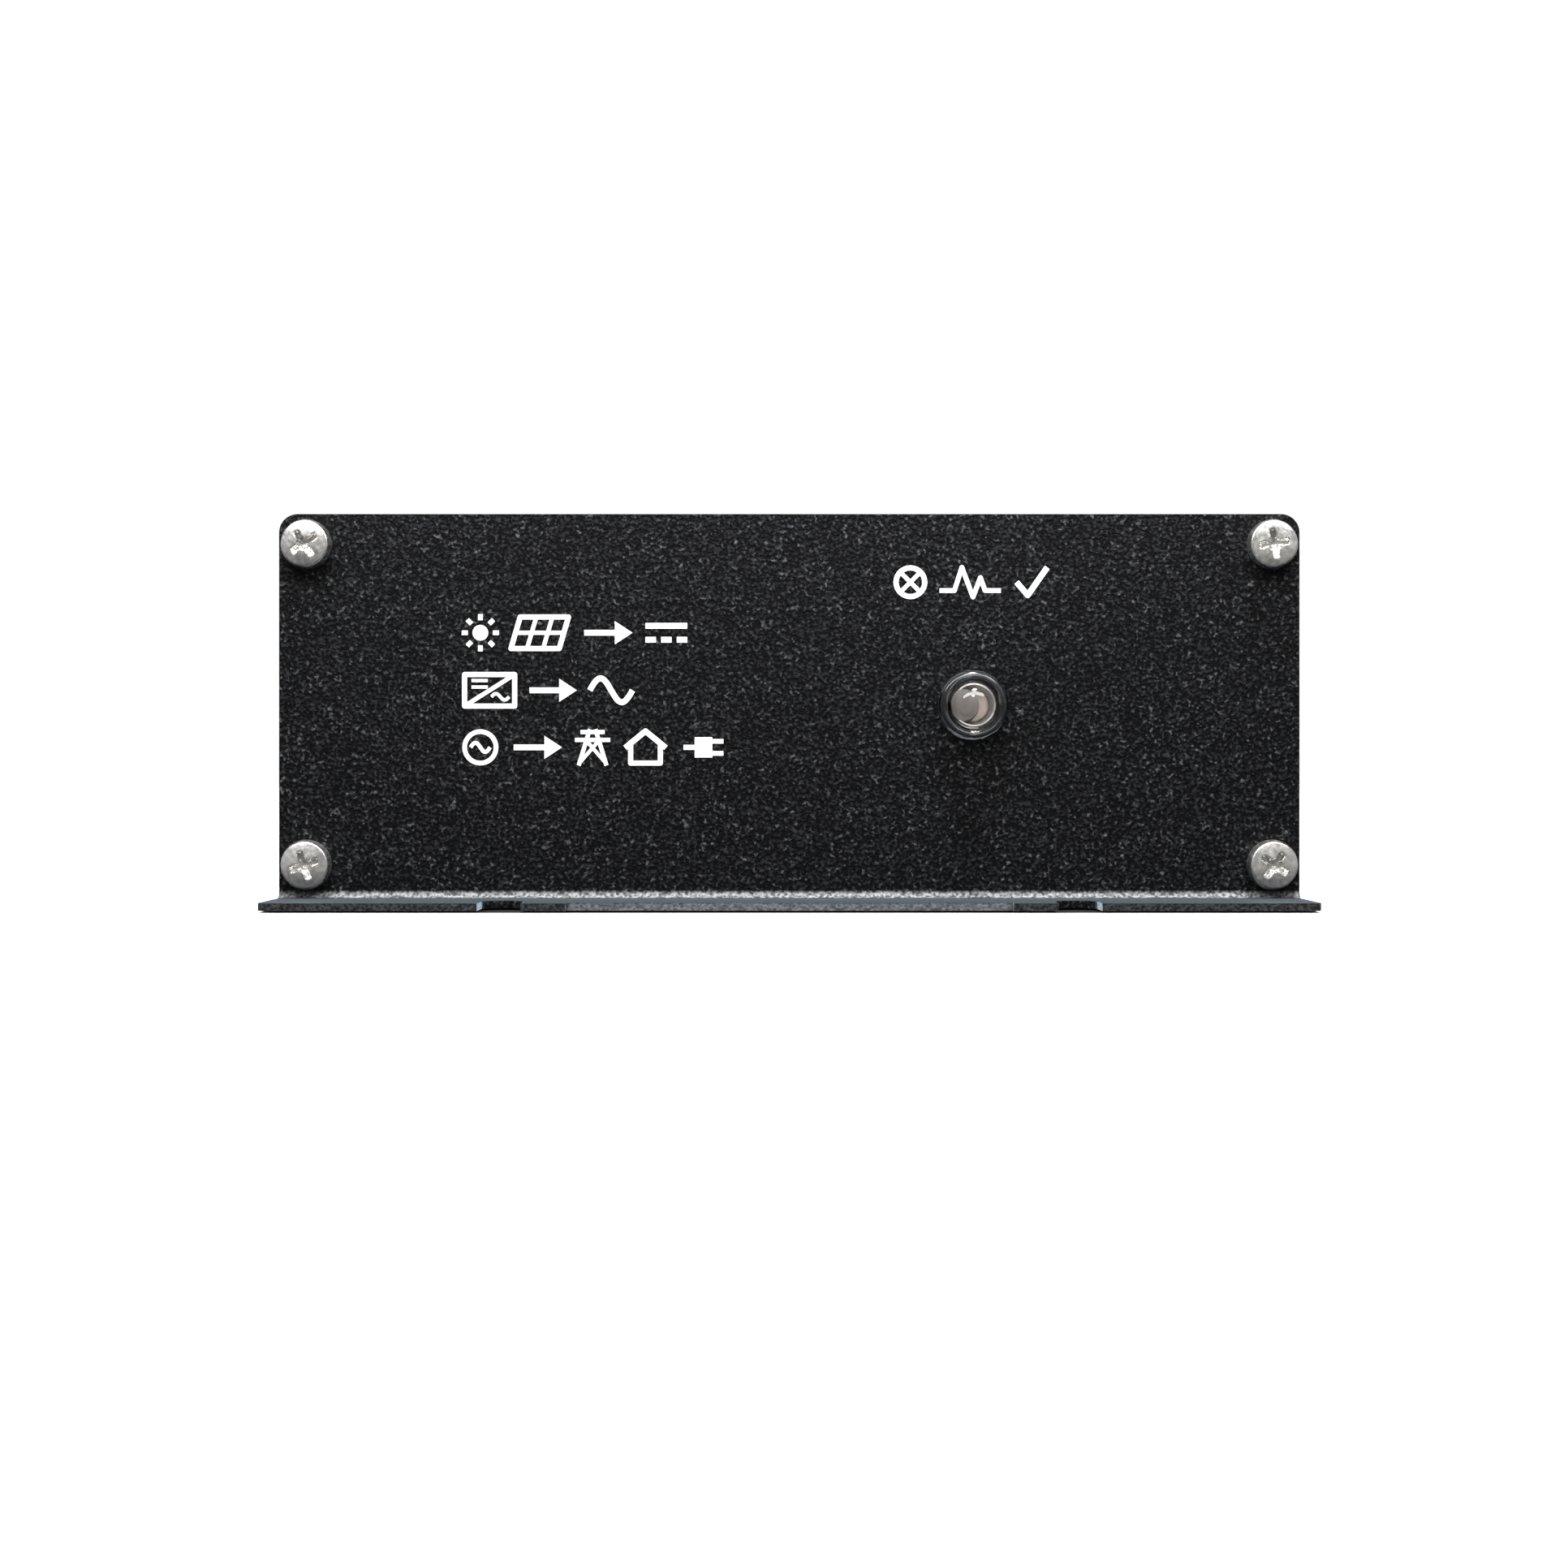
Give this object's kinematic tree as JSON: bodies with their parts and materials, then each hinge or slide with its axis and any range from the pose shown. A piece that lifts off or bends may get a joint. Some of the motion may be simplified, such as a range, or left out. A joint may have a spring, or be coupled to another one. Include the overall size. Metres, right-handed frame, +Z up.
{
  "type": "grid-tie micro inverter",
  "caption": "Grid-tie micro inverter in a finned black metal case with folded mounting feet, a status light, DC sockets, a cable gland and a full set of electronics inside.",
  "frame": {"origin": "centre of the whole object's box, on the surface that the two feet stand on", "axes": "+Z up, +Y from the status light end towards the end with the DC sockets and the cable gland, +X to the right when looking at the status light"},
  "size_m": [0.11, 0.1844, 0.0422],
  "materials": {
    "powder_coat_black": "coarse sparkling black powder coat",
    "anodised_black": "black anodised extrusion, satin",
    "screw_nickel": "nickel plated, semi bright",
    "clear_lens": "water clear moulded lens",
    "tinned_metal": "tin plated",
    "bezel_smoke": "smoke tinted clear plastic",
    "black_nylon": "moulded black nylon, fine texture",
    "black_rubber": "matt black rubber",
    "contact_brass": "plated brass",
    "yellow_zinc": "yellow passivated zinc",
    "red_insulation": "red wire insulation",
    "black_insulation": "black wire insulation",
    "earth_insulation": "green wire insulation with yellow stripe",
    "board_green": "green solder mask",
    "board_blue": "blue solder mask",
    "white_nylon": "natural nylon",
    "capacitor_sleeve": "dark blue shrink sleeve",
    "fuse_green": "tinted fuse plastic",
    "ferrite": "sintered ferrite, matt",
    "enamelled_copper": "enamelled copper wire",
    "gap_pad": "soft heat conducting pad",
    "device_epoxy": "moulded epoxy",
    "insulator_grey": "silicone insulating pad",
    "plain_steel": "zinc plated steel strip",
    "film_box_red": "red epoxy film capacitor box",
    "core_yellow": "yellow coated iron powder core",
    "core_green": "green coated ferrite core",
    "film_box_yellow": "yellow film capacitor box",
    "disc_blue": "blue dipped epoxy",
    "fuse_ceramic": "ceramic fuse tube with plated caps",
    "terminal_green": "green terminal block",
    "relay_cover_blue": "blue relay cover"
  },
  "bodies": {
    "housing": {"case_base": "anodised_black", "case_lid": "anodised_black", "front_plate": "powder_coat_black", "rear_plate": "powder_coat_black", "front_screws": "screw_nickel", "rear_screws": "screw_nickel", "status_led": "clear_lens", "led_leadframe": "tinned_metal", "led_bezel": "bezel_smoke", "led_clip": "black_nylon", "led_wires": "red_insulation", "led_plug": "white_nylon", "dc_plus_socket": "black_nylon", "dc_minus_socket": "black_nylon", "dc_socket_nuts": "black_nylon", "dc_socket_seals": "black_rubber", "dc_plus_contact": "contact_brass", "dc_minus_contact": "contact_brass", "dc_plus_wire": "red_insulation", "dc_minus_wire": "black_insulation", "dc_terminals": "contact_brass", "gland_body": "black_nylon", "gland_locknut": "black_nylon", "gland_seal": "black_rubber", "gland_dome_nut": "black_nylon", "earth_screw": "yellow_zinc", "earth_nut": "plain_steel", "earth_wire": "earth_insulation", "main_board": "board_green", "board_screws": "screw_nickel", "control_board": "board_blue", "input_capacitors": "capacitor_sleeve", "fuse_holder": "black_nylon", "blade_fuse": "fuse_green", "transformer_cores": "ferrite", "transformer_bobbins": "black_nylon", "transformer_windings": "enamelled_copper", "transformer_pads": "gap_pad", "primary_mosfets": "device_epoxy", "secondary_switches": "device_epoxy", "insulator_pads": "insulator_grey", "clamp_bars": "plain_steel", "clamp_screws": "screw_nickel", "bus_capacitor": "film_box_red", "filter_inductor_core": "core_yellow", "filter_inductor_winding": "enamelled_copper", "emi_choke_core": "core_green", "emi_choke_windings": "enamelled_copper", "x_capacitors": "film_box_yellow", "y_capacitors": "disc_blue", "varistor": "disc_blue", "mains_fuse": "fuse_ceramic", "fuse_clips": "tinned_metal", "ac_terminal_block": "terminal_green", "relay_base": "black_nylon", "relay_coil": "enamelled_copper", "relay_yoke": "plain_steel", "relay_contacts": "tinned_metal", "relay_cover": "relay_cover_blue"},
    "armature": {"relay_armature": "plain_steel"}
  },
  "joints": [
    {"name": "relay_armature_rock", "type": "hinge", "parent": "housing", "child": "armature", "pos_m": [0.0125, 0.0179, 0.0237], "axis": [0, 1, 0], "range_deg": [0, 3.8], "stiffness_Nm_per_rad": 0.02, "springref_deg": -2.86}
  ]
}
